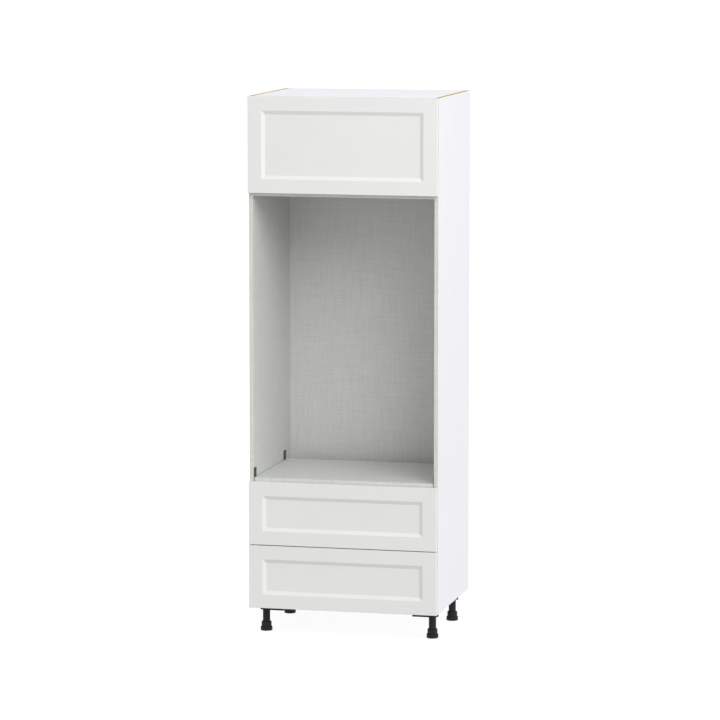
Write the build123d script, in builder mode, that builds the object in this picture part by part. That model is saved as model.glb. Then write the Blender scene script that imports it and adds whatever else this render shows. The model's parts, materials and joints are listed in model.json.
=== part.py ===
"""Tall kitchen housing for a built-in microwave or oven, standing on four adjustable legs.

Millimetres. X runs to the right, the fronts face -Y and Z is up. The origin lies on the floor,
in the middle of the overall width and depth. A flap covers a closet at the top, an open lined
niche takes the appliance, and two drawers run in the base.
"""
import os
from math import cos, radians, sin

from build123d import *

# Overall sizes
cabinet_width = 762.0
cabinet_depth = 609.6
carcass_height = 2032.0
leg_height = 110.0
board = 16.0
edge_easing = 0.6

# Fronts, painted one-piece panels with a bevelled recess
front_thickness = 19.0
front_gap = 2.0
front_reveal = 1.0
drawer_gap = 3.0
frame_width = 55.0
bevel_width = 14.5
recess_depth = 7.0
front_edge_radius = 1.5

# Heights inside the carcass, measured from its underside
oven_shelf_top = 522.0
niche_height = 1118.0
flap_overlap = 3.5
drawer_overlap = 1.0

# Back panel, held in grooves, and the rail that takes the wall screws
back_thickness = 5.0
back_inset = 5.0
groove_depth = 6.0
groove_clearance = 0.2
hanging_rail_height = 100.0
wall_hole_radius = 4.0
wall_hole_inset = 115.0

# Oven shelf and its angle brackets
vent_gap = 60.0
shelf_end_gap = 3.0
bracket_width = 35.0
bracket_rise = 38.0
bracket_sheet = 2.0
bracket_foot = 40.0
bracket_rear_margin = 18.0
bracket_screw_rises = (11.4, 28.5)

# Cam connectors and dowels that join the boards
connector_setback = 70.0
cam_radius = 7.5
cam_depth = 12.5
cam_distance = 34.0
cam_gap = 0.1
bolt_radius = 3.5
bolt_bite = 10.0
dowel_radius = 4.0
dowel_bite = 10.0
dowel_reach = 20.0
dowel_offset = 32.0

# Wood screws
screw_radius = 1.8
screw_bite = 12.0
screw_head_radius = 3.6
screw_head_height = 2.0
screw_clearance = 0.3

# Legs
leg_side_inset = 41.0
front_leg_setback = 117.0
rear_leg_inset = 118.6
leg_tube_radius = 14.5
leg_bore_radius = 8.5
socket_radius = 24.5
socket_reach = 78.0
socket_height = 24.0
socket_wall = 3.0
socket_plate = 4.0
socket_boss_wall = 4.5
socket_bore_depth = 16.0
socket_corner_radius = 6.0
socket_fit = 0.1
socket_screw_offsets = (34.0, 64.0)
socket_screw_spread = 26.0
foot_radius = 23.5
foot_height = 16.5
foot_bevel = 1.5
collar_radius = 20.0
collar_top = 37.0
collar_bevel = 2.0
foot_stem_height = 75.0
foot_travel_room = 5.5
foot_clearance = 0.3

# Flap hinges: a link carries the flap on two pins, one under the top panel and one in the cup
hinge_side_inset = 135.0
cup_radius = 17.5
cup_depth = 11.2
cup_edge = 3.5
cup_clearance = 0.1
cup_wall = 1.2
cup_flange_width = 60.0
cup_flange_height = 28.0
cup_screw_spacing = 48.0
cup_pin_drop = 16.5
cup_pin_depth = 2.5
cup_pin_radius = 1.5
link_pin_setback = 8.0
link_pin_drop = 34.0
link_pin_radius = 2.0
link_width = 13.0
link_sheet = 3.0
link_lower_eye = 5.0
link_upper_eye = 3.2
pin_clearance = 0.1
cheek_sheet = 2.0
cheek_gap = 0.5
cheek_radius = 6.0
hinge_plate_width = 56.0
hinge_plate_depth = 46.0
hinge_plate_sheet = 3.0
hinge_plate_setback = 3.0
hinge_screw_spread = 40.0
hinge_screw_setbacks = (14.0, 38.0)
flap_opening = 90.0
link_share = 0.5

# Flap stays: an arm on each side wall, with a roller in a curved track on the flap
stay_pivot_setback = 23.0
stay_pivot_drop = 35.0
stay_arm_share = 37 / 72
stay_arm_width = 16.0
stay_arm_sheet = 2.5
stay_base_sheet = 3.0
stay_base_size = 44.0
stay_base_corner = 6.0
stay_boss_radius = 8.0
stay_boss_height = 7.5
stay_pin_radius = 3.0
stay_head_radius = 5.5
stay_head_height = 1.5
stay_side_play = 0.3
roller_fit = 0.05
stay_screw_spread = 30.0
track_gap = 2.0
track_sheet = 2.5
track_margin = 9.0
track_flange = 25.0
track_screw_inset = 12.0
track_play = 0.6

# Drawers, with hollow steel sides over three-part runners
drawer_depth = 500.0
drawer_side_rise = 165.0
side_gap = 5.0
side_width = 13.0
side_sheet = 1.0
side_flange = 14.0
side_foot_gap = 2.0
drawer_back_drop = 10.0
rail_rise = 34.0
rail_length = 500.0
rail_setback = 2.0
rail_sheet = 1.2
rail_web_height = 42.0
rail_foot_sheet = 1.5
rail_rib_height = 20.0
rail_clearance = 0.4
rail_leg_gap = 1.0
rail_screw_setbacks = (37.0, 261.0, 453.0)
rail_screw_rise = 31.5
fixing_length = 35.0
fixing_bottom = 45.0
fixing_height = 75.0
plug_radius = 5.0
plug_length = 11.0
plug_spacing = 32.0

# Soft pads on the carcass edges
pad_radius = 4.0
pad_clearance = 0.1
pad_inset = 22.0

# Places worked out from the sizes above
front_face_y = -cabinet_depth / 2
front_back_y = front_face_y + front_thickness
carcass_front_y = front_back_y + front_gap
carcass_back_y = cabinet_depth / 2
back_rear_y = carcass_back_y - back_inset
back_front_y = back_rear_y - back_thickness
groove_y = (back_front_y - groove_clearance, back_rear_y + groove_clearance)
oven_shelf_back_y = back_front_y - vent_gap
outer_x = cabinet_width / 2
wall_x = outer_x - board
front_half_width = outer_x - front_reveal
leg_axis_x = outer_x - leg_side_inset
hinge_x = wall_x - hinge_side_inset
wall_hole_x = wall_x - wall_hole_inset
base_z = leg_height
top_z = base_z + carcass_height
ceiling_z = top_z - board
floor_z = base_z + board
oven_top_z = base_z + oven_shelf_top
oven_bottom_z = oven_top_z - board
niche_top_z = oven_top_z + niche_height
upper_shelf_z = niche_top_z + board
closet_height = ceiling_z - upper_shelf_z
stay_arm_length = stay_arm_share * closet_height
flap_bottom_z = upper_shelf_z - flap_overlap
flap_top_z = top_z - front_reveal
drawers_bottom_z = base_z + front_reveal
drawers_top_z = oven_bottom_z + drawer_overlap
drawer_front_height = (drawers_top_z - drawers_bottom_z - drawer_gap) / 2
drawer_bottoms = {
    "lower": drawers_bottom_z,
    "upper": drawers_bottom_z + drawer_front_height + drawer_gap,
}
sides = {"left": -1, "right": 1}
turn = {"x": (0, 90, 0), "y": (90, 0, 0), "z": (0, 0, 0)}

os.makedirs("parts", exist_ok=True)


def keep(piece, name):
    piece.part.label = name
    export_step(piece.part, f"parts/{name}.step")


def span(side, near, far):
    """A range of X at these two distances from the middle, on one side."""
    return tuple(sorted((side * near, side * far)))


def block(x, y, z, mode=Mode.ADD):
    """A box between three pairs of limits."""
    middle = [(pair[0] + pair[1]) / 2 for pair in (x, y, z)]
    size = [pair[1] - pair[0] for pair in (x, y, z)]
    with Locations(tuple(middle)):
        Box(*size, mode=mode)


def rods(centres, along, radius, length, mode=Mode.ADD):
    """Round bars or holes, each centred on its point."""
    with Locations(*centres):
        Cylinder(radius, length, rotation=turn[along], mode=mode)


def in_wall(side, places, start, length):
    """Centres of X-wise rods that start at this distance from the middle and run outwards."""
    return [(side * (start + length / 2), y, z) for y, z in places]


# Fastening places, as (y, z) on the side walls and (x, y) on the flat panels
connector_ys = (carcass_front_y + connector_setback, back_front_y - connector_setback)
dowel_ys = (connector_ys[0] + dowel_offset, connector_ys[1] - dowel_offset)
panel_middles = (floor_z - board / 2, upper_shelf_z - board / 2, top_z - board / 2)
bolt_places = [(y, z) for z in panel_middles for y in connector_ys]
dowel_places = [(y, z) for z in panel_middles for y in dowel_ys]
rail_places = [
    (carcass_front_y + setback, bottom + rail_rise + rail_screw_rise)
    for bottom in drawer_bottoms.values()
    for setback in rail_screw_setbacks
]
bracket_starts = (
    carcass_front_y,
    oven_shelf_back_y - bracket_rear_margin - bracket_width,
)
bracket_places = [
    (start + bracket_width / 2, oven_top_z + rise)
    for start in bracket_starts
    for rise in bracket_screw_rises
]
stay_pivot = (carcass_front_y + stay_pivot_setback, ceiling_z - stay_pivot_drop)
stay_places = [
    (stay_pivot[0] + way * stay_screw_spread / 2, stay_pivot[1] - way * stay_screw_spread / 2)
    for way in (-1, 1)
]
hinge_places = [
    (side * hinge_x + way * hinge_screw_spread / 2, carcass_front_y + setback)
    for side in sides.values()
    for way in (-1, 1)
    for setback in hinge_screw_setbacks
]
leg_ys = {"front": front_face_y + front_leg_setback, "rear": carcass_back_y - rear_leg_inset}
socket_places = [
    (side * (leg_axis_x - offset), y + way * socket_screw_spread / 2)
    for side in sides.values()
    for y in leg_ys.values()
    for offset in socket_screw_offsets
    for way in (-1, 1)
]
shelf_screw_places = [
    (side * (wall_x - bracket_foot / 2), start + bracket_width / 2)
    for side in sides.values()
    for start in bracket_starts
]

# Side panels
for side_name, side in sides.items():
    with BuildPart() as side_panel:
        block(span(side, wall_x, outer_x), (carcass_front_y, carcass_back_y), (base_z, top_z))
        fillet(side_panel.edges().filter_by(Axis.Z).group_by(Axis.Y)[0], edge_easing)
        block(span(side, wall_x, wall_x + groove_depth), groove_y, (base_z, top_z), Mode.SUBTRACT)
        rods(in_wall(side, bolt_places, wall_x, bolt_bite), "x", bolt_radius, bolt_bite, Mode.SUBTRACT)
        rods(in_wall(side, dowel_places, wall_x, dowel_bite), "x", dowel_radius, dowel_bite, Mode.SUBTRACT)
        pilot_places = rail_places + bracket_places + stay_places
        rods(in_wall(side, pilot_places, wall_x, screw_bite), "x", screw_radius, screw_bite, Mode.SUBTRACT)
    keep(side_panel, f"{side_name}_side_panel")


def connector_bores(middle_z):
    """End bores of one fixed panel for its cam bolts and dowels."""
    for side in sides.values():
        bolts = [(y, middle_z) for y in connector_ys]
        start = wall_x - cam_distance
        rods(in_wall(side, bolts, start, cam_distance), "x", bolt_radius, cam_distance, Mode.SUBTRACT)
        dowels = [(y, middle_z) for y in dowel_ys]
        start = wall_x - dowel_reach
        rods(in_wall(side, dowels, start, dowel_reach), "x", dowel_radius, dowel_reach, Mode.SUBTRACT)


def cam_centres(bottom_z):
    """Centres of one panel's cam locks, whose lower ends lie at this height."""
    x = wall_x - cam_distance
    return [(side * x, y, bottom_z + cam_depth / 2) for side in sides.values() for y in connector_ys]


cam_bottoms = (floor_z - cam_depth, upper_shelf_z - cam_depth, ceiling_z)

# Top panel, between the sides
with BuildPart() as top_panel:
    block((-wall_x, wall_x), (carcass_front_y, carcass_back_y), (ceiling_z, top_z))
    fillet(top_panel.edges().filter_by(Axis.X).group_by(Axis.Y)[0], edge_easing)
    block((-wall_x, wall_x), groove_y, (ceiling_z, ceiling_z + groove_depth), Mode.SUBTRACT)
    rods(cam_centres(cam_bottoms[2]), "z", cam_radius, cam_depth, Mode.SUBTRACT)
    connector_bores(panel_middles[2])
    pilots = [(x, y, ceiling_z + screw_bite / 2) for x, y in hinge_places]
    rods(pilots, "z", screw_radius, screw_bite, Mode.SUBTRACT)
keep(top_panel, "top_panel")

# Bottom panel, which carries the legs
with BuildPart() as bottom_panel:
    block((-wall_x, wall_x), (carcass_front_y, carcass_back_y), (base_z, floor_z))
    fillet(bottom_panel.edges().filter_by(Axis.X).group_by(Axis.Y)[0], edge_easing)
    block((-wall_x, wall_x), groove_y, (floor_z - groove_depth, floor_z), Mode.SUBTRACT)
    rods(cam_centres(cam_bottoms[0]), "z", cam_radius, cam_depth, Mode.SUBTRACT)
    connector_bores(panel_middles[0])
    pilots = [(x, y, base_z + screw_bite / 2) for x, y in socket_places]
    rods(pilots, "z", screw_radius, screw_bite, Mode.SUBTRACT)
keep(bottom_panel, "bottom_panel")

# Fixed shelf over the niche
with BuildPart() as upper_shelf:
    block((-wall_x, wall_x), (carcass_front_y, back_front_y), (niche_top_z, upper_shelf_z))
    fillet(upper_shelf.edges().filter_by(Axis.X).group_by(Axis.Y)[0], edge_easing)
    rods(cam_centres(cam_bottoms[1]), "z", cam_radius, cam_depth, Mode.SUBTRACT)
    connector_bores(panel_middles[1])
keep(upper_shelf, "upper_shelf")

# Oven shelf, which stops short of the back to let air rise
oven_half_width = wall_x - shelf_end_gap
with BuildPart() as oven_shelf:
    shelf_y = (carcass_front_y, oven_shelf_back_y)
    block((-oven_half_width, oven_half_width), shelf_y, (oven_bottom_z, oven_top_z))
    fillet(oven_shelf.edges().filter_by(Axis.X).group_by(Axis.Y)[0], edge_easing)
    pilots = [(x, y, oven_bottom_z + screw_bite / 2) for x, y in shelf_screw_places]
    rods(pilots, "z", screw_radius, screw_bite, Mode.SUBTRACT)
keep(oven_shelf, "oven_shelf")

# Back panel and the rail behind the top closet
wall_holes = [(side * wall_hole_x, ceiling_z - hanging_rail_height / 2) for side in sides.values()]
with BuildPart() as back_panel:
    half_width = wall_x + groove_depth - groove_clearance
    back_z = (floor_z - groove_depth + groove_clearance, ceiling_z + groove_depth - groove_clearance)
    block((-half_width, half_width), (back_front_y, back_rear_y), back_z)
    middles = [(x, back_rear_y - back_thickness / 2, z) for x, z in wall_holes]
    rods(middles, "y", wall_hole_radius, back_thickness, Mode.SUBTRACT)
keep(back_panel, "back_panel")

with BuildPart() as hanging_rail:
    rail_y = (back_front_y - board, back_front_y)
    block((-wall_x, wall_x), rail_y, (ceiling_z - hanging_rail_height, ceiling_z))
    middles = [(x, back_front_y - board / 2, z) for x, z in wall_holes]
    rods(middles, "y", wall_hole_radius, board, Mode.SUBTRACT)
keep(hanging_rail, "hanging_rail")

# Angle brackets under and beside the oven shelf
with BuildPart() as oven_shelf_brackets:
    for side in sides.values():
        for start in bracket_starts:
            bracket_y = (start, start + bracket_width)
            leaf_z = (oven_bottom_z - bracket_sheet, oven_top_z + bracket_rise)
            block(span(side, wall_x - bracket_sheet, wall_x), bracket_y, leaf_z)
            foot_z = (oven_bottom_z - bracket_sheet, oven_bottom_z)
            block(span(side, wall_x - bracket_foot, wall_x), bracket_y, foot_z)
    hole = screw_radius + screw_clearance
    for side in sides.values():
        leaf_holes = in_wall(side, bracket_places, wall_x - bracket_sheet, bracket_sheet)
        rods(leaf_holes, "x", hole, bracket_sheet, Mode.SUBTRACT)
    foot_holes = [(x, y, oven_bottom_z - bracket_sheet / 2) for x, y in shelf_screw_places]
    rods(foot_holes, "z", hole, bracket_sheet, Mode.SUBTRACT)
keep(oven_shelf_brackets, "oven_shelf_brackets")


def wall_screws(side, places, plate):
    """Screws through a plate on a side wall, heads towards the middle."""
    rods(in_wall(side, places, wall_x - plate, plate + screw_bite), "x", screw_radius, plate + screw_bite)
    heads = in_wall(side, places, wall_x - plate - screw_head_height, screw_head_height)
    rods(heads, "x", screw_head_radius, screw_head_height)


def upward_screws(places, plate, face_z):
    """Screws driven up through a plate into the face at this height."""
    length = plate + screw_bite
    rods([(x, y, face_z - plate + length / 2) for x, y in places], "z", screw_radius, length)
    head_z = face_z - plate - screw_head_height / 2
    rods([(x, y, head_z) for x, y in places], "z", screw_head_radius, screw_head_height)


with BuildPart() as oven_shelf_screws:
    for side in sides.values():
        wall_screws(side, bracket_places, bracket_sheet)
    upward_screws(shelf_screw_places, bracket_sheet, oven_bottom_z)
keep(oven_shelf_screws, "oven_shelf_screws")

with BuildPart() as carcass_screws:
    for side in sides.values():
        wall_screws(side, rail_places, rail_foot_sheet)
        wall_screws(side, stay_places, stay_base_sheet)
    upward_screws(hinge_places, hinge_plate_sheet, ceiling_z)
    upward_screws(socket_places, socket_plate, base_z)
keep(carcass_screws, "carcass_screws")

# Connectors hidden in the boards
with BuildPart() as cam_locks:
    for bottom_z in cam_bottoms:
        rods(cam_centres(bottom_z), "z", cam_radius, cam_depth)
keep(cam_locks, "cam_locks")

bolt_reach = cam_distance - cam_radius - cam_gap
with BuildPart() as cam_bolts:
    for side in sides.values():
        length = bolt_reach + bolt_bite
        rods(in_wall(side, bolt_places, wall_x - bolt_reach, length), "x", bolt_radius, length)
keep(cam_bolts, "cam_bolts")

with BuildPart() as panel_dowels:
    for side in sides.values():
        length = dowel_reach + dowel_bite
        rods(in_wall(side, dowel_places, wall_x - dowel_reach, length), "x", dowel_radius, length)
keep(panel_dowels, "panel_dowels")

# Legs: a socket under the bottom panel, a threaded tube and a foot that screws up and down in it
tube_bottom_z = foot_height + foot_travel_room
tube_top_z = base_z - socket_height + socket_bore_depth
for depth_name, leg_y in leg_ys.items():
    for side_name, side in sides.items():
        leg_x = side * leg_axis_x
        inner_x = -side * socket_reach
        leg_name = f"{depth_name}_{side_name}"
        with BuildPart() as leg_socket:
            with BuildSketch(Plane((leg_x, leg_y, base_z - socket_height))) as outline:
                Circle(socket_radius)
                with Locations((inner_x / 2, 0)):
                    Rectangle(socket_reach, 2 * socket_radius)
                inner_corners = outline.vertices().sort_by(Axis.X, reverse=side < 0)[:2]
                fillet(inner_corners, socket_corner_radius)
            extrude(amount=socket_height)
            with BuildSketch(Plane((leg_x, leg_y, base_z - socket_height))):
                add(outline.sketch.moved(Location((-leg_x, -leg_y, socket_height - base_z))))
                offset(amount=-socket_wall, mode=Mode.REPLACE)
                Circle(leg_tube_radius + socket_boss_wall, mode=Mode.SUBTRACT)
            extrude(amount=socket_height - socket_plate, mode=Mode.SUBTRACT)
            bore_z = base_z - socket_height + socket_bore_depth / 2
            bore_radius = leg_tube_radius + socket_fit
            rods([(leg_x, leg_y, bore_z)], "z", bore_radius, socket_bore_depth, Mode.SUBTRACT)
            here = [place for place in socket_places
                    if abs(place[0] - leg_x) < socket_reach and abs(place[1] - leg_y) < socket_radius]
            plate_holes = [(x, y, base_z - socket_plate / 2) for x, y in here]
            rods(plate_holes, "z", screw_radius + screw_clearance, socket_plate, Mode.SUBTRACT)
        keep(leg_socket, f"{leg_name}_leg_socket")

        with BuildPart() as leg_tube:
            with BuildSketch(Plane((leg_x, leg_y, tube_bottom_z))):
                Circle(leg_tube_radius)
                Circle(leg_bore_radius, mode=Mode.SUBTRACT)
            extrude(amount=tube_top_z - tube_bottom_z)
        keep(leg_tube, f"{leg_name}_leg_tube")

        with BuildPart() as foot:
            with BuildSketch(Plane((leg_x, leg_y, 0))):
                Circle(foot_radius)
            extrude(amount=foot_height)
            chamfer(foot.edges(), foot_bevel)
            with BuildSketch(Plane((leg_x, leg_y, foot_height))):
                Circle(collar_radius)
                Circle(leg_tube_radius + foot_clearance, mode=Mode.SUBTRACT)
            extrude(amount=collar_top - foot_height)
            collar_rim = foot.edges().group_by(Axis.Z)[-1].sort_by(SortBy.RADIUS)[-1]
            chamfer(collar_rim, collar_bevel)
            with BuildSketch(Plane((leg_x, leg_y, foot_height))):
                Circle(leg_bore_radius - foot_clearance)
            extrude(amount=foot_stem_height - foot_height)
        keep(foot, f"{leg_name}_foot")


def shaker_front(bottom_z, top_z):
    """A one-piece front with a flat frame and a bevel down to its recessed middle."""
    height = top_z - bottom_z
    middle = (0, (bottom_z + top_z) / 2)
    block((-front_half_width, front_half_width), (front_face_y, front_back_y), (bottom_z, top_z))
    fillet(faces().sort_by(Axis.Y)[0].edges(), front_edge_radius)
    with BuildSketch(Plane.XZ.offset(-front_face_y)) as mouth:
        with Locations(middle):
            Rectangle(2 * (front_half_width - frame_width), height - 2 * frame_width)
    inset = frame_width + bevel_width
    with BuildSketch(Plane.XZ.offset(-front_face_y - recess_depth)) as recess:
        with Locations(middle):
            Rectangle(2 * (front_half_width - inset), height - 2 * inset)
    loft([mouth.sketch.face(), recess.sketch.face()], ruled=True, mode=Mode.SUBTRACT)


# Flap with the recesses for its hinge cups
cup_centre_z = flap_top_z - cup_edge - cup_radius
cup_middle_y = front_back_y - cup_depth / 2
cup_screw_places = [
    (side * hinge_x + way * cup_screw_spacing / 2, cup_centre_z)
    for side in sides.values()
    for way in (-1, 1)
]
cup_pin = (front_back_y - cup_pin_depth, flap_top_z - cup_pin_drop)
link_pin = (carcass_front_y + link_pin_setback, ceiling_z - link_pin_drop)


def turned(point, centre, angle):
    """A (y, z) point turned about a centre in the flap's opening direction."""
    y, z = point[0] - centre[0], point[1] - centre[1]
    c, s = cos(radians(angle)), sin(radians(angle))
    return (centre[0] + y * c + z * s, centre[1] - y * s + z * c)


def roller_on_flap(angle):
    """Where the stay roller lies on the closed flap when the flap stands at this angle."""
    arm_end = (stay_pivot[0], stay_pivot[1] - stay_arm_length)
    roller = turned(arm_end, stay_pivot, angle)
    pin = turned(cup_pin, link_pin, -link_share * angle)
    moved = (roller[0] - pin[0] + cup_pin[0], roller[1] - pin[1] + cup_pin[1])
    return turned(moved, cup_pin, -angle)


track_points = [roller_on_flap(share * flap_opening) for share in (0, 0.5, 1)]
track_z = (track_points[0][1] - track_margin, track_points[2][1] + track_margin)
track_outer_x = wall_x - stay_base_sheet - stay_boss_height - stay_arm_sheet - stay_side_play - track_gap
track_inner_x = track_outer_x - track_sheet
track_screw_places = [
    (side * (track_inner_x - track_flange / 2), z)
    for side in sides.values()
    for z in (track_z[0] + track_screw_inset, track_z[1] - track_screw_inset)
]

with BuildPart() as flap_door:
    shaker_front(flap_bottom_z, flap_top_z)
    cups = [(side * hinge_x, cup_middle_y, cup_centre_z) for side in sides.values()]
    rods(cups, "y", cup_radius, cup_depth, Mode.SUBTRACT)
    places = cup_screw_places + track_screw_places
    pilots = [(x, front_back_y - screw_bite / 2, z) for x, z in places]
    rods(pilots, "y", screw_radius, screw_bite, Mode.SUBTRACT)
keep(flap_door, "flap_door")

with BuildPart() as hinge_cups:
    for side in sides.values():
        with BuildSketch(Plane.XZ.offset(-front_back_y - cup_wall)):
            with Locations((side * hinge_x, cup_centre_z)):
                SlotOverall(cup_flange_width, cup_flange_height)
        extrude(amount=cup_wall)
    shells = [(side * hinge_x, cup_middle_y + cup_clearance / 2, cup_centre_z) for side in sides.values()]
    rods(shells, "y", cup_radius - cup_clearance, cup_depth - cup_clearance)
    mouths = [(x, y + cup_wall, z) for x, y, z in shells]
    rods(mouths, "y", cup_radius - cup_clearance - cup_wall, cup_depth - cup_clearance, Mode.SUBTRACT)
    screws = [(x, front_back_y + cup_wall / 2, z) for x, z in cup_screw_places]
    rods(screws, "y", screw_radius + screw_clearance, cup_wall, Mode.SUBTRACT)
    cup_pin_length = 2 * (cup_radius - cup_clearance - cup_wall)
    pins = [(side * hinge_x, *cup_pin) for side in sides.values()]
    rods(pins, "x", cup_pin_radius, cup_pin_length, Mode.SUBTRACT)
keep(hinge_cups, "hinge_cups")

with BuildPart() as hinge_upper_pins:
    rods(pins, "x", cup_pin_radius, cup_pin_length)
keep(hinge_upper_pins, "hinge_upper_pins")

with BuildPart() as flap_screws:
    for places, plate in ((cup_screw_places, cup_wall), (track_screw_places, track_sheet)):
        length = plate + screw_bite
        shanks = [(x, front_back_y + plate - length / 2, z) for x, z in places]
        rods(shanks, "y", screw_radius, length)
        heads = [(x, front_back_y + plate + screw_head_height / 2, z) for x, z in places]
        rods(heads, "y", screw_head_radius, screw_head_height)
keep(flap_screws, "flap_screws")

# Hinge brackets under the top panel, with the lower pins
cheek_inner = link_width / 2 + cheek_gap
cheek_outer = cheek_inner + cheek_sheet
with BuildPart() as hinge_brackets:
    for side in sides.values():
        middle = side * hinge_x
        plate_front_y = carcass_front_y + hinge_plate_setback
        plate_y = (plate_front_y, plate_front_y + hinge_plate_depth)
        plate_x = (middle - hinge_plate_width / 2, middle + hinge_plate_width / 2)
        block(plate_x, plate_y, (ceiling_z - hinge_plate_sheet, ceiling_z))
        for cheek_x in (middle - cheek_outer, middle + cheek_inner):
            with BuildSketch(Plane.YZ.offset(cheek_x)):
                with Locations(link_pin):
                    Circle(cheek_radius)
                with BuildLine():
                    Polyline(
                        (link_pin[0] - cheek_radius, link_pin[1]),
                        (link_pin[0] - cheek_radius + hinge_plate_setback, ceiling_z - hinge_plate_sheet),
                        (plate_y[1] - cheek_radius, ceiling_z - hinge_plate_sheet),
                        (link_pin[0] + cheek_radius, link_pin[1]),
                        close=True,
                    )
                make_face()
            extrude(amount=cheek_sheet)
    lower_pins = [(side * hinge_x, *link_pin) for side in sides.values()]
    rods(lower_pins, "x", link_pin_radius, 2 * cheek_outer, Mode.SUBTRACT)
    plates = [(x, y, ceiling_z - hinge_plate_sheet / 2) for x, y in hinge_places]
    rods(plates, "z", screw_radius + screw_clearance, hinge_plate_sheet, Mode.SUBTRACT)
keep(hinge_brackets, "hinge_brackets")

with BuildPart() as hinge_lower_pins:
    rods(lower_pins, "x", link_pin_radius, 2 * cheek_outer)
keep(hinge_lower_pins, "hinge_lower_pins")

with BuildPart() as hinge_links:
    for side in sides.values():
        with BuildSketch(Plane.YZ.offset(side * hinge_x - link_width / 2)):
            with BuildLine():
                web = Line(link_pin, cup_pin)
            SlotCenterPoint(web @ 0.5, web @ 1, link_sheet)
            with Locations(link_pin):
                Circle(link_lower_eye)
            with Locations(cup_pin):
                Circle(link_upper_eye)
        extrude(amount=link_width)
    rods(lower_pins, "x", link_pin_radius + pin_clearance, link_width, Mode.SUBTRACT)
    rods(pins, "x", cup_pin_radius + pin_clearance, link_width, Mode.SUBTRACT)
keep(hinge_links, "hinge_links")

# Flap stays
stay_boss_x = wall_x - stay_base_sheet - stay_boss_height
arm_outer_x = stay_boss_x - stay_side_play
arm_inner_x = arm_outer_x - stay_arm_sheet
arm_end = (stay_pivot[0], stay_pivot[1] - stay_arm_length)
with BuildPart() as stay_bases:
    for side in sides.values():
        base_x = span(side, wall_x - stay_base_sheet, wall_x)
        with BuildSketch(Plane.YZ.offset(base_x[0])):
            with Locations(stay_pivot):
                RectangleRounded(stay_base_size, stay_base_size, stay_base_corner)
        extrude(amount=stay_base_sheet)
        boss = in_wall(side, [stay_pivot], stay_boss_x, stay_boss_height)
        rods(boss, "x", stay_boss_radius, stay_boss_height)
        pin_length = stay_arm_sheet + 2 * stay_side_play
        pivot = in_wall(side, [stay_pivot], stay_boss_x - pin_length, pin_length)
        rods(pivot, "x", stay_pin_radius, pin_length)
        head_x = stay_boss_x - pin_length - stay_head_height
        head = in_wall(side, [stay_pivot], head_x, stay_head_height)
        rods(head, "x", stay_head_radius, stay_head_height)
        screw_holes = in_wall(side, stay_places, wall_x - stay_base_sheet, stay_base_sheet)
        rods(screw_holes, "x", screw_radius + screw_clearance, stay_base_sheet, Mode.SUBTRACT)
keep(stay_bases, "stay_bases")

for side_name, side in sides.items():
    arm_x = span(side, arm_inner_x, arm_outer_x)
    with BuildPart() as stay_arm:
        with BuildSketch(Plane.YZ.offset(arm_x[0])):
            with Locations((stay_pivot[0], stay_pivot[1] - stay_arm_length / 2)):
                SlotCenterToCenter(stay_arm_length, stay_arm_width, rotation=90)
            with Locations(stay_pivot):
                Circle(stay_pin_radius + pin_clearance, mode=Mode.SUBTRACT)
            with Locations(arm_end):
                Circle(stay_pin_radius + roller_fit, mode=Mode.SUBTRACT)
        extrude(amount=stay_arm_sheet)
    keep(stay_arm, f"{side_name}_stay_arm")

    roller_end_x = track_inner_x - stay_side_play
    with BuildPart() as stay_roller:
        length = arm_outer_x - roller_end_x
        rods(in_wall(side, [arm_end], roller_end_x, length), "x", stay_pin_radius, length)
        head = in_wall(side, [arm_end], roller_end_x - stay_head_height, stay_head_height)
        rods(head, "x", stay_head_radius, stay_head_height)
    keep(stay_roller, f"{side_name}_stay_roller")

with BuildPart() as stay_tracks:
    deepest_y = max(point[0] for point in track_points) + track_margin
    for side in sides.values():
        plate_x = span(side, track_inner_x, track_outer_x)
        with BuildSketch(Plane.YZ.offset(plate_x[0])):
            with BuildLine() as path:
                ThreePointArc(*track_points)
            with Locations(((front_back_y + deepest_y) / 2, (track_z[0] + track_z[1]) / 2)):
                Rectangle(deepest_y - front_back_y, track_z[1] - track_z[0])
            SlotArc(path.edge(), 2 * (stay_pin_radius + track_play), mode=Mode.SUBTRACT)
        extrude(amount=track_sheet)
        flange_x = span(side, track_inner_x - track_flange, track_inner_x)
        block(flange_x, (front_back_y, front_back_y + track_sheet), track_z)
    holes = [(x, front_back_y + track_sheet / 2, z) for x, z in track_screw_places]
    rods(holes, "y", screw_radius + screw_clearance, track_sheet, Mode.SUBTRACT)
keep(stay_tracks, "stay_tracks")

# Drawers. Across each runner the sections nest: rib, middle rail, drawer rail, hollow side
side_inner = side_gap + side_width
hollow = (side_gap + side_sheet, side_inner - side_sheet)
middle_out = (hollow[0] + rail_sheet + rail_clearance, hollow[1] - rail_sheet - rail_clearance)
rib = (middle_out[0] + rail_sheet + rail_clearance, middle_out[1] - rail_sheet - rail_clearance)
rail_y = (carcass_front_y + rail_setback, carcass_front_y + rail_setback + rail_length)
drawer_y = (front_back_y, front_back_y + drawer_depth)
plug_places = (-plug_spacing / 2, plug_spacing / 2)


def from_wall(side, near, far):
    """A range of X at these two distances from the inner face of a side panel."""
    return span(side, wall_x - far, wall_x - near)


def channel(side, across, y, bottom_z, top_z, sheet):
    """A folded sheet channel, open below."""
    block(from_wall(side, *across), y, (top_z - sheet, top_z))
    block(from_wall(side, across[0], across[0] + sheet), y, (bottom_z, top_z))
    block(from_wall(side, across[1] - sheet, across[1]), y, (bottom_z, top_z))


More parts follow.
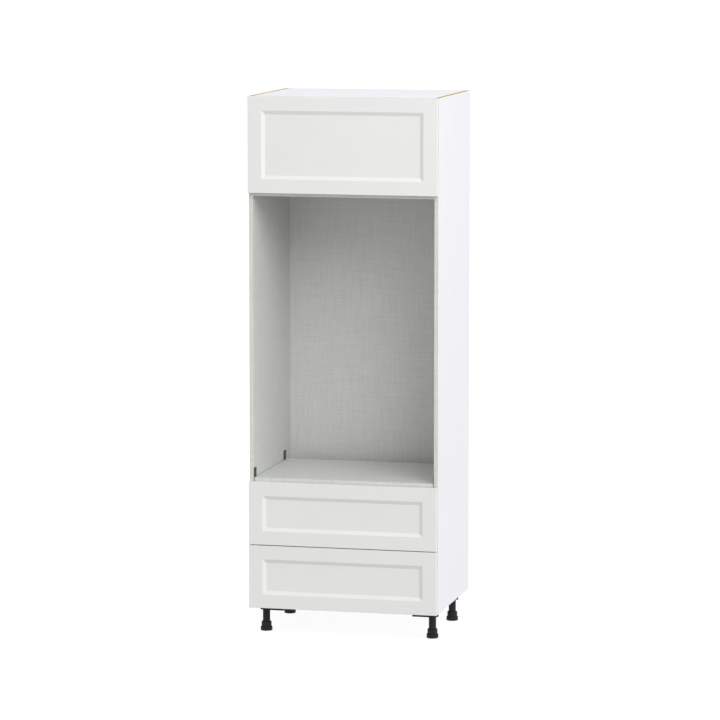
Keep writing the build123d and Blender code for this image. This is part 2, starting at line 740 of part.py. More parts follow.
for level, front_bottom_z in drawer_bottoms.items():
    front_top_z = front_bottom_z + drawer_front_height
    rail_z = front_bottom_z + rail_rise
    rail_foot_z = rail_z + rail_foot_sheet
    rib_top_z = rail_foot_z + rail_rib_height
    middle_top_z = rib_top_z + rail_clearance + rail_sheet
    drawer_rail_top_z = middle_top_z + rail_clearance + rail_sheet
    tray_z = rail_foot_z + side_sheet
    tray_top_z = tray_z + board
    side_top_z = rail_z + drawer_side_rise
    fixing_z = (rail_z + fixing_bottom, rail_z + fixing_bottom + fixing_height)
    fixing_middle = (fixing_z[0] + fixing_z[1]) / 2
    fixing_x = wall_x - (hollow[0] + hollow[1]) / 2
    plugs = [(side * fixing_x, fixing_middle + rise) for side in sides.values() for rise in plug_places]

    with BuildPart() as drawer_front:
        shaker_front(front_bottom_z, front_top_z)
        holes = [(x, front_back_y - plug_length / 2, z) for x, z in plugs]
        rods(holes, "y", plug_radius, plug_length, Mode.SUBTRACT)
    keep(drawer_front, f"{level}_drawer_front")

    for side_name, side in sides.items():
        with BuildPart() as drawer_side:
            across = (side_gap, side_inner)
            block(from_wall(side, *across), drawer_y, (side_top_z - side_sheet, side_top_z))
            outer = from_wall(side, side_gap, side_gap + side_sheet)
            block(outer, drawer_y, (rail_foot_z + side_foot_gap, side_top_z))
            inner = from_wall(side, side_inner - side_sheet, side_inner)
            block(inner, drawer_y, (rail_foot_z, side_top_z))
            flange = from_wall(side, side_inner, side_inner + side_flange)
            block(flange, drawer_y, (rail_foot_z, tray_z))
        keep(drawer_side, f"{level}_drawer_{side_name}_side")

    tray_half_width = wall_x - side_inner
    with BuildPart() as drawer_bottom:
        block((-tray_half_width, tray_half_width), drawer_y, (tray_z, tray_top_z))
    keep(drawer_bottom, f"{level}_drawer_bottom")

    with BuildPart() as drawer_back:
        back_y = (drawer_y[1] - board, drawer_y[1])
        block((-tray_half_width, tray_half_width), back_y, (tray_top_z, side_top_z - drawer_back_drop))
    keep(drawer_back, f"{level}_drawer_back")

    with BuildPart() as front_fixings:
        for side in sides.values():
            fixing_y = (front_back_y, front_back_y + fixing_length)
            block(from_wall(side, *hollow), fixing_y, fixing_z)
        rods([(x, front_back_y - plug_length / 2, z) for x, z in plugs], "y", plug_radius, plug_length)
    keep(front_fixings, f"{level}_drawer_front_fixings")

    with BuildPart() as cabinet_rails:
        for side in sides.values():
            block(from_wall(side, 0, rail_foot_sheet), rail_y, (rail_z, rail_z + rail_web_height))
            block(from_wall(side, 0, rib[1]), rail_y, (rail_z, rail_foot_z))
            block(from_wall(side, *rib), rail_y, (rail_z, rib_top_z))
            web_places = [place for place in rail_places if rail_z < place[1] < rail_z + rail_web_height]
            web_holes = in_wall(side, web_places, wall_x - rail_foot_sheet, rail_foot_sheet)
            rods(web_holes, "x", screw_radius + screw_clearance, rail_foot_sheet, Mode.SUBTRACT)
    keep(cabinet_rails, f"{level}_drawer_cabinet_rails")

    with BuildPart() as middle_rails:
        for side in sides.values():
            channel(side, middle_out, rail_y, rail_foot_z + rail_leg_gap, middle_top_z, rail_sheet)
    keep(middle_rails, f"{level}_drawer_middle_rails")

    with BuildPart() as drawer_rails:
        for side in sides.values():
            leg_z = rail_foot_z + side_foot_gap
            channel(side, hollow, rail_y, leg_z, drawer_rail_top_z, rail_sheet)
    keep(drawer_rails, f"{level}_drawer_rails")

# Soft pads that the closed fronts meet
pad_heights = [flap_bottom_z + pad_inset]
pad_heights += [bottom + drawer_front_height - pad_inset for bottom in drawer_bottoms.values()]
with BuildPart() as bumper_pads:
    pad_thickness = front_gap - pad_clearance
    pad_y = carcass_front_y - pad_thickness / 2
    pad_x = outer_x - board / 2
    pads = [(side * pad_x, pad_y, z) for side in sides.values() for z in pad_heights]
    rods(pads, "y", pad_radius, pad_thickness)
keep(bumper_pads, "bumper_pads")
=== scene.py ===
import bpy
import json
from math import radians
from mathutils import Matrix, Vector

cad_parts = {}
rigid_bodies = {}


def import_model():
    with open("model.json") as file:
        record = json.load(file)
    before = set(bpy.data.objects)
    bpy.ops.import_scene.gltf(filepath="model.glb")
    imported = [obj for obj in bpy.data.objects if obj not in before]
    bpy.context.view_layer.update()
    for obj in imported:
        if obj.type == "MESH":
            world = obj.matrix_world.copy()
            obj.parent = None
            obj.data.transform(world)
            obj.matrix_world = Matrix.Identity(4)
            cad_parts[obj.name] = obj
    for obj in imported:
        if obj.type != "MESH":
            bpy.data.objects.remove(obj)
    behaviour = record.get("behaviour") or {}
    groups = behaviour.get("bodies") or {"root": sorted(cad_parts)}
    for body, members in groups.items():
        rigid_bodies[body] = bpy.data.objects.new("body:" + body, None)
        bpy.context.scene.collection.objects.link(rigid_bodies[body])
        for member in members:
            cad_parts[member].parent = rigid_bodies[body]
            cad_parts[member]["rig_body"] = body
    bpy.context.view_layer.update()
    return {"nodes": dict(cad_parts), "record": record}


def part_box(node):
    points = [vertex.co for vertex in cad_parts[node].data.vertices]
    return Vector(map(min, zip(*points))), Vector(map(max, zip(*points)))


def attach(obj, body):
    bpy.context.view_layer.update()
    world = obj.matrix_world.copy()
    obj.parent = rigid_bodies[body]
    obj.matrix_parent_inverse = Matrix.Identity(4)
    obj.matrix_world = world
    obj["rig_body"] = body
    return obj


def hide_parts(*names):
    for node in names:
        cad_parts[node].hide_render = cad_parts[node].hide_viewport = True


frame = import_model()
bpy.ops.object.select_all(action="DESELECT")
print("frame loaded,", len(frame["nodes"]), "nodes")


def linear(hexColour):
    channels = [int(hexColour[i:i + 2], 16) / 255 for i in (1, 3, 5)]
    return [c / 12.92 if c <= 0.04045 else ((c + 0.055) / 1.055) ** 2.4 for c in channels] + [1.0]


def addNode(tree, kind, settings=None, links=None):
    node = tree.nodes.new(kind)
    for key, value in (settings or {}).items():
        if isinstance(key, int) or key in node.inputs:
            node.inputs[key].default_value = value
        else:
            setattr(node, key, value)
    for key, socket in (links or {}).items():
        tree.links.new(socket, node.inputs[key])
    return node


def startMaterial(name, roughness, metallic=0.0):
    material = bpy.data.materials.new(name)
    material.use_nodes = True
    tree = material.node_tree
    shader = tree.nodes["Principled BSDF"]
    shader.inputs["Roughness"].default_value = roughness
    shader.inputs["Metallic"].default_value = metallic
    coords = addNode(tree, "ShaderNodeTexCoord").outputs["Object"]
    return material, tree, shader, coords


def finishSlot(material, slotName):
    for row in frame["record"]["subparts"]:
        if row["material_slot"] == slotName:
            mesh = frame["nodes"][row["node"]].data
            mesh.materials.clear()
            mesh.materials.append(material)


# a pattern of this size in millimetres, as a scale on coordinates in metres
def perMm(size):
    return 1000.0 / size


# fine relief in a surface, and the same pattern for its tones
def surfaceGrain(tree, shader, coords, finish):
    size = {"Scale": perMm(finish["grainMm"]), "Detail": 3.0}
    noise = addNode(tree, "ShaderNodeTexNoise", size, {"Vector": coords})
    relief = {"Strength": finish["strength"], "Distance": finish["depthMm"] / 1000}
    bump = addNode(tree, "ShaderNodeBump", relief, {"Height": noise.outputs["Fac"]})
    tree.links.new(bump.outputs["Normal"], shader.inputs["Normal"])
    return noise.outputs["Fac"]


# slow clouds between two near tones, as on any large printed or sprayed face
# sockets 6 and 7 of a colour mix are its two colours, and its output 2 is the mixed one
def cloudedColour(tree, coords, dark, light, cloudMm=140):
    size = {"Scale": perMm(cloudMm), "Detail": 2.0}
    clouds = addNode(tree, "ShaderNodeTexNoise", size, {"Vector": coords})
    tones = {"data_type": "RGBA", 6: linear(dark), 7: linear(light)}
    return addNode(tree, "ShaderNodeMix", tones, {0: clouds.outputs["Fac"]}).outputs[2]


# printed linen: crossed threads, each pale or dark over a short run
# real threads are near 1 mm, drawn coarser here so that they show
linen = {
    "dark": "#C6C7C4", "light": "#D2D3D0", "bandDark": "#BFC1BB", "bandLight": "#CDCFC9",
    "acrossMm": 4.2, "alongMm": 110.0, "thin": 0.36, "thick": 0.64,
}


# the threads run along two axes, where 0, 1 and 2 are x, y and z
def linenColour(tree, coords, axes, dark="dark", light="light"):
    across, along = perMm(linen["acrossMm"]), perMm(linen["alongMm"])
    limits = {"From Min": linen["thin"], "From Max": linen["thick"]}
    sets = []
    for axis in axes:
        stretch = [along if i == axis else across for i in range(3)]
        place = addNode(tree, "ShaderNodeMapping", {"Scale": stretch}, {"Vector": coords})
        spot = {"Vector": place.outputs["Vector"]}
        threads = addNode(tree, "ShaderNodeTexNoise", {"Scale": 1.0, "Detail": 1.0}, spot)
        sets.append(addNode(tree, "ShaderNodeMapRange", limits, {"Value": threads.outputs["Fac"]}))
    crossed = {0: sets[0].outputs["Result"], 1: sets[1].outputs["Result"]}
    both = addNode(tree, "ShaderNodeMath", {"operation": "ADD"}, crossed).outputs[0]
    mean = addNode(tree, "ShaderNodeMath", {"operation": "MULTIPLY", 1: 0.5}, {0: both}).outputs[0]
    tones = {"data_type": "RGBA", 6: linear(linen[dark]), 7: linear(linen[light])}
    return addNode(tree, "ShaderNodeMix", tones, {0: mean}).outputs[2]


# the edge bands carry the same print, a little darker
def bandColour(tree, coords):
    return linenColour(tree, coords, (0, 2), "bandDark", "bandLight")


# sawn chipboard: pressed wood chips, pale and dark flakes a few millimetres long, quite dull
rawBoard = {"dark": "#886924", "light": "#C4A450", "chipMm": 3.0, "roughness": 0.95}


def rawBoardColour(tree, coords):
    size = {"Scale": perMm(rawBoard["chipMm"])}
    chips = addNode(tree, "ShaderNodeTexVoronoi", size, {"Vector": coords})
    shade = addNode(tree, "ShaderNodeSeparateColor", {}, {"Color": chips.outputs["Color"]})
    tones = {"data_type": "RGBA", 6: linear(rawBoard["dark"]), 7: linear(rawBoard["light"])}
    return addNode(tree, "ShaderNodeMix", tones, {0: shade.outputs["Red"]}).outputs[2]


# melamine-faced chipboard: white outside, linen inside, banded in front, bare chips on the cut edges
boards = {
    "white": "#DFDEE4", "whiteShade": "#DBDADF", "roughness": 0.42,
    "grainMm": 0.9, "strength": 0.08, "depthMm": 0.05, "bandDepth": 0.0006, "edgeSkin": 0.0003,
}
sideLow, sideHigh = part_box("right_side_panel")
topLow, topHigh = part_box("top_panel")


def makeWhiteBoard():
    material, tree, shader, coords = startMaterial("melamine_faced_chipboard", boards["roughness"])
    place = addNode(tree, "ShaderNodeSeparateXYZ", {}, {"Vector": coords}).outputs
    wide = addNode(tree, "ShaderNodeMath", {"operation": "ABSOLUTE"}, {0: place["X"]}).outputs[0]
    skin = boards["edgeSkin"]
    limits = {
        "outside": (wide, "GREATER_THAN", (sideLow.x + sideHigh.x) / 2),
        "above": (place["Z"], "GREATER_THAN", (topLow.z + topHigh.z) / 2),
        "onSide": (wide, "GREATER_THAN", sideLow.x + skin),
        "topEdge": (place["Z"], "GREATER_THAN", sideHigh.z - skin),
        "bottomEdge": (place["Z"], "LESS_THAN", sideLow.z + skin),
        "rearEdge": (place["Y"], "GREATER_THAN", sideHigh.y - skin),
        "front": (place["Y"], "LESS_THAN", sideLow.y + boards["bandDepth"]),
    }
    zone = {}
    for name, (value, kind, limit) in limits.items():
        test = {"operation": kind, 1: limit}
        zone[name] = addNode(tree, "ShaderNodeMath", test, {0: value}).outputs[0]
    joined = {
        "white": ("MAXIMUM", "outside", "above"),
        "ends": ("MAXIMUM", "topEdge", "bottomEdge"),
        "sideEnds": ("MULTIPLY", "ends", "onSide"),
        "raw": ("MAXIMUM", "sideEnds", "rearEdge"),
    }
    for name, (kind, first, second) in joined.items():
        pair = {0: zone[first], 1: zone[second]}
        zone[name] = addNode(tree, "ShaderNodeMath", {"operation": kind}, pair).outputs[0]
    layers = {
        "white": cloudedColour(tree, coords, boards["whiteShade"], boards["white"]),
        "raw": rawBoardColour(tree, coords),
        "front": bandColour(tree, coords),
    }
    colour = linenColour(tree, coords, (1, 2))  # as the inside of a side panel lies
    for name, layer in layers.items():
        faces = {0: zone[name], 6: colour, 7: layer}
        colour = addNode(tree, "ShaderNodeMix", {"data_type": "RGBA"}, faces).outputs[2]
    tree.links.new(colour, shader.inputs["Base Color"])
    dull = {"To Min": boards["roughness"], "To Max": rawBoard["roughness"]}
    gloss = addNode(tree, "ShaderNodeMapRange", dull, {"Value": zone["raw"]})
    tree.links.new(gloss.outputs["Result"], shader.inputs["Roughness"])
    surfaceGrain(tree, shader, coords, boards)
    return material


# the same board with linen on both faces
def makeLinenBoard():
    material, tree, shader, coords = startMaterial("linen_melamine_chipboard", boards["roughness"])
    place = addNode(tree, "ShaderNodeSeparateXYZ", {}, {"Vector": coords}).outputs
    edge = {"operation": "LESS_THAN", 1: sideLow.y + boards["bandDepth"]}
    front = addNode(tree, "ShaderNodeMath", edge, {0: place["Y"]}).outputs[0]
    faces = {0: front, 6: linenColour(tree, coords, (0, 1)), 7: bandColour(tree, coords)}
    colour = addNode(tree, "ShaderNodeMix", {"data_type": "RGBA"}, faces).outputs[2]
    tree.links.new(colour, shader.inputs["Base Color"])
    surfaceGrain(tree, shader, coords, boards)
    return material


# thin fibreboard, printed on its face and bare brown behind
hardboard = {"dark": "#8A6A44", "light": "#A5845A", "fibreMm": 1.6, "roughness": 0.6}


def makeHardboard():
    material, tree, shader, coords = startMaterial("printed_hardboard", hardboard["roughness"])
    place = addNode(tree, "ShaderNodeSeparateXYZ", {}, {"Vector": coords}).outputs
    backLow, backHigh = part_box("back_panel")
    middle = {"operation": "GREATER_THAN", 1: (backLow.y + backHigh.y) / 2}
    behind = addNode(tree, "ShaderNodeMath", middle, {0: place["Y"]}).outputs[0]
    size = {"Scale": perMm(hardboard["fibreMm"]), "Detail": 4.0}
    fibres = addNode(tree, "ShaderNodeTexNoise", size, {"Vector": coords})
    tones = {"data_type": "RGBA", 6: linear(hardboard["dark"]), 7: linear(hardboard["light"])}
    bare = addNode(tree, "ShaderNodeMix", tones, {0: fibres.outputs["Fac"]}).outputs[2]
    faces = {0: behind, 6: linenColour(tree, coords, (0, 2)), 7: bare}
    colour = addNode(tree, "ShaderNodeMix", {"data_type": "RGBA"}, faces).outputs[2]
    tree.links.new(colour, shader.inputs["Base Color"])
    surfaceGrain(tree, shader, coords, boards)
    return material


# satin lacquer sprayed on fibreboard: even off-white with a faint orange peel
lacquer = {
    "dark": "#D8D8D6", "light": "#DDDCDB", "roughness": 0.36,
    "grainMm": 2.5, "strength": 0.05, "depthMm": 0.06,
}


def makeLacquer():
    material, tree, shader, coords = startMaterial("satin_lacquer_on_fibreboard", lacquer["roughness"])
    colour = cloudedColour(tree, coords, lacquer["dark"], lacquer["light"])
    tree.links.new(colour, shader.inputs["Base Color"])
    surfaceGrain(tree, shader, coords, lacquer)
    return material


# powder coat: fine even grit that breaks up the highlight
# moulded plastic: spark-eroded tool grain, dull with a soft sheen
grainyFinishes = {
    "grey_powder_coated_steel": {
        "name": "dark_grey_powder_coat", "dark": "#404140", "light": "#4D4E4B", "roughness": 0.55,
        "grainMm": 0.5, "strength": 0.15, "depthMm": 0.06, "shine": 0.5,
    },
    "light_grey_steel": {
        "name": "light_grey_powder_coat", "dark": "#C2C4C6", "light": "#CBCDCF", "roughness": 0.45,
        "grainMm": 0.5, "strength": 0.15, "depthMm": 0.06, "shine": 0.5,
    },
    "black_moulded_plastic": {
        "name": "black_moulded_polypropylene", "dark": "#15161A", "light": "#1A1B1F", "roughness": 0.6,
        "grainMm": 0.8, "strength": 0.3, "depthMm": 0.08, "shine": 0.25,
    },
    "grey_moulded_plastic": {
        "name": "grey_moulded_nylon", "dark": "#9A9C9E", "light": "#A6A8AA", "roughness": 0.5,
        "grainMm": 0.8, "strength": 0.3, "depthMm": 0.08, "shine": 0.5,
    },
}


def makeGrainy(finish):
    material, tree, shader, coords = startMaterial(finish["name"], finish["roughness"])
    shader.inputs["Specular IOR Level"].default_value = finish["shine"]
    grit = surfaceGrain(tree, shader, coords, finish)
    tones = {"data_type": "RGBA", 6: linear(finish["dark"]), 7: linear(finish["light"])}
    colour = addNode(tree, "ShaderNodeMix", tones, {0: grit}).outputs[2]
    tree.links.new(colour, shader.inputs["Base Color"])
    return material


# plated steel: small tone patches and a soft uneven gloss
platedFinishes = {
    "zinc_plated_steel": {
        "name": "zinc_plated_steel", "dark": "#AEB3B8", "light": "#CDD0D3", "roughness": 0.32,
        "grainMm": 4.0, "strength": 0.02, "depthMm": 0.01, "glossSpread": 0.07,
    },
    "nickel_plated_steel": {
        "name": "satin_nickel_on_steel", "dark": "#B9B5AC", "light": "#CFCBC2", "roughness": 0.28,
        "grainMm": 6.0, "strength": 0.02, "depthMm": 0.01, "glossSpread": 0.07,
    },
}


def makePlated(finish):
    material, tree, shader, coords = startMaterial(finish["name"], finish["roughness"], metallic=1.0)
    patches = surfaceGrain(tree, shader, coords, finish)
    tones = {"data_type": "RGBA", 6: linear(finish["dark"]), 7: linear(finish["light"])}
    colour = addNode(tree, "ShaderNodeMix", tones, {0: patches}).outputs[2]
    tree.links.new(colour, shader.inputs["Base Color"])
    middle, spread = finish["roughness"], finish["glossSpread"]
    limits = {"To Min": middle - spread, "To Max": middle + spread}
    gloss = addNode(tree, "ShaderNodeMapRange", limits, {"Value": patches})
    tree.links.new(gloss.outputs["Result"], shader.inputs["Roughness"])
    return material


# turned beech: short brown flecks along the peg
beech = {
    "dark": "#B98E63", "light": "#DDBC92", "roughness": 0.55, "fleckLongMm": 6.0, "fleckWideMm": 0.7,
}


def makeBeech():
    material, tree, shader, coords = startMaterial("turned_beech", beech["roughness"])
    wide = perMm(beech["fleckWideMm"])
    stretch = {"Scale": [perMm(beech["fleckLongMm"]), wide, wide]}
    place = addNode(tree, "ShaderNodeMapping", stretch, {"Vector": coords})
    spot = {"Vector": place.outputs["Vector"]}
    flecks = addNode(tree, "ShaderNodeTexNoise", {"Scale": 1.0, "Detail": 3.0}, spot)
    tones = {"data_type": "RGBA", 6: linear(beech["dark"]), 7: linear(beech["light"])}
    colour = addNode(tree, "ShaderNodeMix", tones, {0: flecks.outputs["Fac"]}).outputs[2]
    tree.links.new(colour, shader.inputs["Base Color"])
    return material


# soft clear polyurethane: light passes through, slightly cloudy
clearPad = {
    "dark": "#D5D8D8", "light": "#EEF0F0", "roughness": 0.3, "clearness": 0.7, "refraction": 1.5,
    "grainMm": 1.5, "strength": 0.05, "depthMm": 0.03,
}


def makeClearPad():
    material, tree, shader, coords = startMaterial("soft_clear_polyurethane", clearPad["roughness"])
    shader.inputs["Transmission Weight"].default_value = clearPad["clearness"]
    shader.inputs["IOR"].default_value = clearPad["refraction"]
    haze = surfaceGrain(tree, shader, coords, clearPad)
    tones = {"data_type": "RGBA", 6: linear(clearPad["dark"]), 7: linear(clearPad["light"])}
    colour = addNode(tree, "ShaderNodeMix", tones, {0: haze}).outputs[2]
    tree.links.new(colour, shader.inputs["Base Color"])
    return material


# drawer boards: plain white melamine with a fine pearl
drawerBoard = {
    "dark": "#E4E4E4", "light": "#EBEBEA", "roughness": 0.45,
    "grainMm": 0.7, "strength": 0.12, "depthMm": 0.05,
}


def makeDrawerBoard():
    name = "white_melamine_drawer_board"
    material, tree, shader, coords = startMaterial(name, drawerBoard["roughness"])
    colour = cloudedColour(tree, coords, drawerBoard["dark"], drawerBoard["light"])
    tree.links.new(colour, shader.inputs["Base Color"])
    surfaceGrain(tree, shader, coords, drawerBoard)
    return material


finishSlot(makeWhiteBoard(), "white_melamine_board")
finishSlot(makeLinenBoard(), "linen_melamine_board")
finishSlot(makeHardboard(), "linen_hardboard")
finishSlot(makeLacquer(), "satin_lacquer_front")
finishSlot(makeBeech(), "beech_wood")
finishSlot(makeClearPad(), "clear_soft_plastic")
finishSlot(makeDrawerBoard(), "white_drawer_board")
for slotName, finish in grainyFinishes.items():
    finishSlot(makeGrainy(finish), slotName)
for slotName, finish in platedFinishes.items():
    finishSlot(makePlated(finish), slotName)
print("materials on", len(frame["nodes"]), "nodes")


# square: how near to straight up or down a picked face looks
modelling = {"square": 0.99, "weld": 0.00001, "smoothAngle": radians(35)}


def pick(*pieces):
    bpy.ops.object.select_all(action="DESELECT")
    for piece in pieces:
        piece.select_set(True)
    bpy.context.view_layer.objects.active = pieces[0]


def chooseFaces(piece, wanted):
    bpy.ops.object.mode_set(mode="EDIT")
    bpy.ops.mesh.select_mode(type="FACE")
    bpy.ops.mesh.select_all(action="DESELECT")
    bpy.ops.object.mode_set(mode="OBJECT")
    for face in piece.data.polygons:
        face.select = wanted(face)
    bpy.ops.object.mode_set(mode="EDIT")


# cuts the shape of one piece out of another, then drops the cutter
def cutAway(piece, cutter):
    pick(piece)
    cut = piece.modifiers.new("cut", "BOOLEAN")
    cut.object = cutter
    cut.operation = "DIFFERENCE"
    cut.solver = "EXACT"
    bpy.ops.object.modifier_apply(modifier=cut.name)
    bpy.data.objects.remove(cutter)


# a recess for a cross-head driver: two bars, sunk from the top face at height zero and tapered
def crossRecess(piece, length, width, depth, taper=0.45):
    for turn in (0, 90):
        bpy.ops.object.select_all(action="DESELECT")
        bpy.ops.mesh.primitive_cube_add(size=1, location=(0, 0, 0))
        bar = bpy.context.object
        bar.scale = (length, width, 2 * depth)
        bar.rotation_euler = (0, 0, radians(turn))
        bpy.ops.object.transform_apply(location=True, rotation=True, scale=True)
        chooseFaces(bar, lambda face: face.normal.z < -modelling["square"])
        bpy.ops.transform.resize(value=(taper, taper, 1.0))
        bpy.ops.object.mode_set(mode="OBJECT")
        cutAway(piece, bar)


# each separate solid of a CAD node, as the list of its corners
def solidsOf(nodeName):
    bpy.ops.object.select_all(action="DESELECT")
    copy = frame["nodes"][nodeName].copy()
    copy.data = copy.data.copy()
    copy.parent = None
    bpy.context.collection.objects.link(copy)
    pick(copy)
    bpy.ops.object.mode_set(mode="EDIT")
    bpy.ops.mesh.select_all(action="SELECT")
    bpy.ops.mesh.remove_doubles(threshold=modelling["weld"])
    bpy.ops.mesh.separate(type="LOOSE")
    bpy.ops.object.mode_set(mode="OBJECT")
    solids = []
    for part in list(bpy.context.selected_objects):
        solids.append([vertex.co.copy() for vertex in part.data.vertices])
        bpy.data.objects.remove(part)
    return solids


# copies of a model, its outer end at the origin and facing up, one on each solid of a node
def setCopies(model, nodeName, name, facing):
    node = frame["nodes"][nodeName]
    modelLength = -min(vertex.co.z for vertex in model.data.vertices)
    copies = []
    for spots in solidsOf(nodeName):
        low = Vector([min(spot[i] for spot in spots) for i in range(3)])
        high = Vector([max(spot[i] for spot in spots) for i in range(3)])
        towards = facing(spots, low, high)
        length = abs((high - low).dot(towards))
        copy = model.copy()
        copy.data = model.data.copy()
        bpy.context.collection.objects.link(copy)
        for vertex in copy.data.vertices:
            if vertex.co.z < -modelLength / 2:
                vertex.co.z -= length - modelLength
        copy.rotation_euler = towards.to_track_quat("Z", "Y").to_euler()
        copy.location = (low + high) / 2 + towards * length / 2
        copies.append(copy)
    bpy.data.objects.remove(model)
    pick(*copies)
    bpy.ops.object.transform_apply(location=True, rotation=True, scale=True)
    bpy.ops.object.join()
    piece = bpy.context.object
    piece.name = name
    piece.data.materials.clear()
    piece.data.materials.append(node.data.materials[0])
    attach(piece, node["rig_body"])
    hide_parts(nodeName)
    print(name, "set", len(copies), "times")


# pan-head wood screw with a cross recess and a pointed shank, sizes in metres
screw = {
    "sides": 24, "headRadius": 0.0036, "headHeight": 0.002,
    "crown": 0.0013, "crownSteps": 4, "crownFullness": 0.6,
    "shankRadius": 0.0018, "shankLength": 0.0115, "tip": 0.0025, "tipShare": 0.15,
    "recessLength": 0.0042, "recessWidth": 0.0011, "recessDepth": 0.0012,
}


def modelScrew():
    bpy.ops.object.select_all(action="DESELECT")
    middle = (0, 0, -screw["headHeight"] / 2)
    bpy.ops.mesh.primitive_cylinder_add(
        vertices=screw["sides"], radius=screw["headRadius"], depth=screw["headHeight"], location=middle)
    piece = bpy.context.object
    bpy.ops.object.transform_apply(location=True, rotation=True, scale=True)
    chooseFaces(piece, lambda face: face.normal.z < -modelling["square"])
    bpy.ops.mesh.inset(thickness=screw["headRadius"] - screw["shankRadius"])
    bpy.ops.mesh.extrude_region_move(TRANSFORM_OT_translate={"value": (0, 0, -screw["shankLength"])})
    bpy.ops.mesh.extrude_region_move(TRANSFORM_OT_translate={"value": (0, 0, -screw["tip"])})
    bpy.ops.transform.resize(value=(screw["tipShare"], screw["tipShare"], 1.0))
    chooseFaces(piece, lambda face: face.normal.z > modelling["square"])
    bpy.ops.mesh.bevel(
        offset=screw["crown"], segments=screw["crownSteps"], profile=screw["crownFullness"],
        affect="EDGES")
    bpy.ops.object.mode_set(mode="OBJECT")
    crossRecess(piece, screw["recessLength"], screw["recessWidth"], screw["recessDepth"])
    pick(piece)
    bpy.ops.object.shade_smooth_by_angle(angle=modelling["smoothAngle"])
    return piece


# the way a screw's head faces: along its length, at its wide end
def headSide(spots, low, high):
    size, middle = high - low, (low + high) / 2
    axis = max(range(3), key=lambda i: size[i])
    reach = (screw["headRadius"] + screw["shankRadius"]) / 2
    around = [i for i in range(3) if i != axis]
    head = [spot[axis] for spot in spots if any(abs(spot[i] - middle[i]) > reach for i in around)]
    towards = Vector((0, 0, 0))
    towards[axis] = 1 if sum(head) / len(head) > middle[axis] else -1
    return towards


setCopies(modelScrew(), "carcass_screws", "carcass_pan_head_screws", headSide)
setCopies(modelScrew(), "oven_shelf_screws", "oven_shelf_pan_head_screws", headSide)
setCopies(modelScrew(), "flap_screws", "flap_pan_head_screws", headSide)

# cam lock: a die-cast drum with a dished face, a cross recess and a pointer
cam = {
    "sides": 40, "radius": 0.0075, "depth": 0.0125,
    "rim": 0.0009, "rimRound": 0.0003, "rimSteps": 2, "dish": 0.0005,
    "recessLength": 0.0076, "recessWidth": 0.0019, "recessDepth": 0.0028,
    "pointer": 0.0012, "pointerSides": 3, "pointerPlace": 0.0051, "pointerCut": 0.002,
}


def modelCam():
    bpy.ops.object.select_all(action="DESELECT")
    middle = (0, 0, -cam["depth"] / 2)
    bpy.ops.mesh.primitive_cylinder_add(
        vertices=cam["sides"], radius=cam["radius"], depth=cam["depth"], location=middle)
    piece = bpy.context.object
    bpy.ops.object.transform_apply(location=True, rotation=True, scale=True)
    chooseFaces(piece, lambda face: face.normal.z > modelling["square"])
    bpy.ops.mesh.bevel(offset=cam["rimRound"], segments=cam["rimSteps"], affect="EDGES")
    chooseFaces(piece, lambda face: face.normal.z > modelling["square"])
    bpy.ops.mesh.inset(thickness=cam["rim"])
    bpy.ops.mesh.extrude_region_move(TRANSFORM_OT_translate={"value": (0, 0, -cam["dish"])})
    bpy.ops.object.mode_set(mode="OBJECT")
    crossRecess(piece, cam["recessLength"], cam["recessWidth"], cam["recessDepth"])
    bpy.ops.object.select_all(action="DESELECT")
    place = (0, cam["pointerPlace"], 0)
    bpy.ops.mesh.primitive_cylinder_add(
        vertices=cam["pointerSides"], radius=cam["pointer"], depth=cam["pointerCut"], location=place)
    cutAway(piece, bpy.context.object)
    pick(piece)
    bpy.ops.object.shade_smooth_by_angle(angle=modelling["smoothAngle"])
    return piece


# a cam's face lies open: down in the top panel, up in the others
def openFace(spots, low, high):
    return Vector((0, 0, -1 if low.z > topLow.z - cam["dish"] else 1))


setCopies(modelCam(), "cam_locks", "cross_slot_cam_locks", openFace)

# bumper pad: a low soft dome, stuck on by its flat side
pad = {
    "sides": 32, "radius": 0.004, "thickness": 0.0019,
    "dome": 0.0017, "domeSteps": 6, "domeFullness": 0.5,
}


def modelPad():
    bpy.ops.object.select_all(action="DESELECT")
    middle = (0, 0, -pad["thickness"] / 2)
    bpy.ops.mesh.primitive_cylinder_add(
        vertices=pad["sides"], radius=pad["radius"], depth=pad["thickness"], location=middle)
    piece = bpy.context.object
    bpy.ops.object.transform_apply(location=True, rotation=True, scale=True)
    chooseFaces(piece, lambda face: face.normal.z > modelling["square"])
    bpy.ops.mesh.bevel(
        offset=pad["dome"], segments=pad["domeSteps"], profile=pad["domeFullness"], affect="EDGES")
    bpy.ops.object.mode_set(mode="OBJECT")
    pick(piece)
    bpy.ops.object.shade_smooth_by_angle(angle=modelling["smoothAngle"])
    return piece


def towardsFront(spots, low, high):
    return Vector((0, -1, 0))


setCopies(modelPad(), "bumper_pads", "domed_bumper_pads", towardsFront)
bpy.ops.object.select_all(action="DESELECT")
print("small pieces modelled")

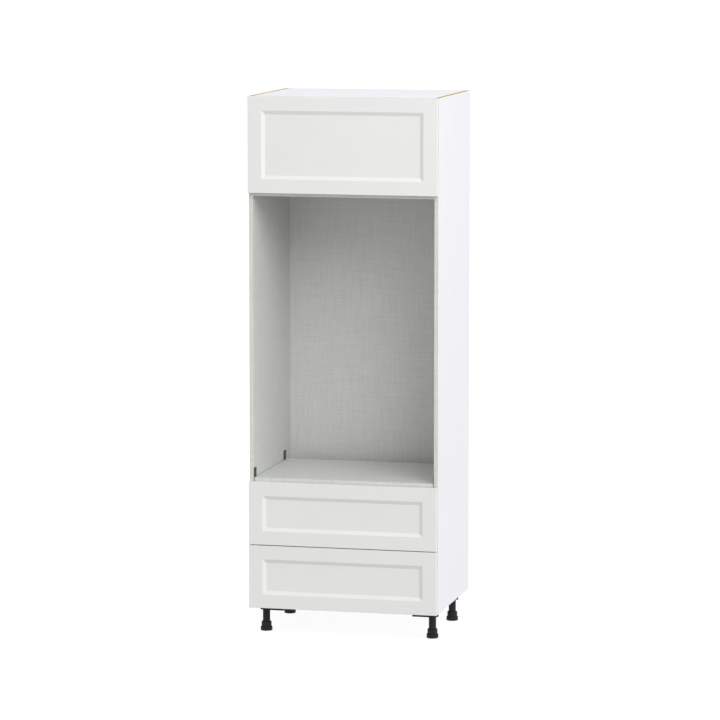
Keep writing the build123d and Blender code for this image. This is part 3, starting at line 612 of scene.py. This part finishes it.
# studio: a white floor that glows, so shadows stay pale, inside a white dome
# both show in the cabinet's gloss, but its matt faces take no light from them
studio = {
    "floorSize": 400.0, "domeRadius": 60.0, "domeSegments": 64, "domeRings": 32,
    "dark": "#6E6E6F", "light": "#727273", "roughness": 0.9,
    "glow": "#FFFFFF", "floorGlow": 0.9, "domeGlow": 1.0, "skyGlow": 0.57,
}
bpy.ops.mesh.primitive_plane_add(size=studio["floorSize"], location=(0, 0, 0))
floor = bpy.context.object
floor.name = "studio_floor"
bpy.ops.mesh.primitive_uv_sphere_add(
    segments=studio["domeSegments"], ring_count=studio["domeRings"], radius=studio["domeRadius"],
    location=(0, 0, 0))
dome = bpy.context.object
dome.name = "studio_dome"
dome.visible_shadow = False
for backdrop, glow in ((floor, studio["floorGlow"]), (dome, studio["domeGlow"])):
    name = "matt_white_" + backdrop.name
    material, tree, shader, coords = startMaterial(name, studio["roughness"])
    colour = cloudedColour(tree, coords, studio["dark"], studio["light"])
    tree.links.new(colour, shader.inputs["Base Color"])
    shader.inputs["Emission Color"].default_value = linear(studio["glow"])
    shader.inputs["Emission Strength"].default_value = glow
    shader.inputs["Specular IOR Level"].default_value = 0.0
    backdrop.data.materials.append(material)
    backdrop.visible_diffuse = False

# broad soft lamps, whose softness is their breadth in degrees
# the key light stands high in front on the right, as the bevels in the photograph show
lampDistance = 6.0
lamps = {
    "keyLamp": {"towards": (0.6, -0.75, 0.6), "strength": 0.9, "softness": 40},
    "sideLamp": {"towards": (1.0, -0.2, 0.25), "strength": 1.2, "softness": 60},
    "topLamp": {"towards": (0.1, -0.3, 1.0), "strength": 0.45, "softness": 60},
    "frontLamp": {"towards": (0.0, -1.0, 0.1), "strength": 0.2, "softness": 60},
}
for name, lamp in lamps.items():
    bpy.ops.object.light_add(type="SUN", location=Vector(lamp["towards"]) * lampDistance)
    light = bpy.context.object
    light.name = name
    light.data.energy = lamp["strength"]
    light.data.angle = radians(lamp["softness"])
    light.rotation_euler = Vector(lamp["towards"]).to_track_quat("Z", "Y").to_euler()

# a softbox nearer the top, so the light falls off towards the floor
softbox = {"place": (1.9, -2.4, 3.4), "aim": (0.0, 0.0, 1.5), "size": 1.6, "power": 27.0}
bpy.ops.object.light_add(type="AREA", location=softbox["place"])
light = bpy.context.object
light.name = "softbox"
light.data.size = softbox["size"]
light.data.energy = softbox["power"]
light.visible_camera = False
aim = Vector(softbox["place"]) - Vector(softbox["aim"])
light.rotation_euler = aim.to_track_quat("Z", "Y").to_euler()

world = bpy.data.worlds.new("whiteStudio")
world.use_nodes = True
sky = world.node_tree.nodes["Background"]
sky.inputs["Color"].default_value = linear(studio["glow"])
sky.inputs["Strength"].default_value = studio["skyGlow"]
bpy.context.scene.world = world
bpy.context.scene.view_settings.view_transform = "Standard"  # white stays white
print("floor and lamps placed")

# camera at the photograph's angle, in metres and degrees, with its lens and sensor in millimetres
view = {
    "place": (3.4854, -14.5294, 2.9467), "turn": 13.491, "down": 7.135,
    "lens": 188.33, "sensor": 36.0, "farthest": 600.0,
}
turn = (radians(90 - view["down"]), 0, radians(view["turn"]))
bpy.ops.object.camera_add(location=view["place"], rotation=turn)
camera = bpy.context.object
camera.name = "photoCamera"
camera.data.lens = view["lens"]
camera.data.sensor_width = view["sensor"]
camera.data.clip_end = view["farthest"]
bpy.context.scene.camera = camera
print("camera set")
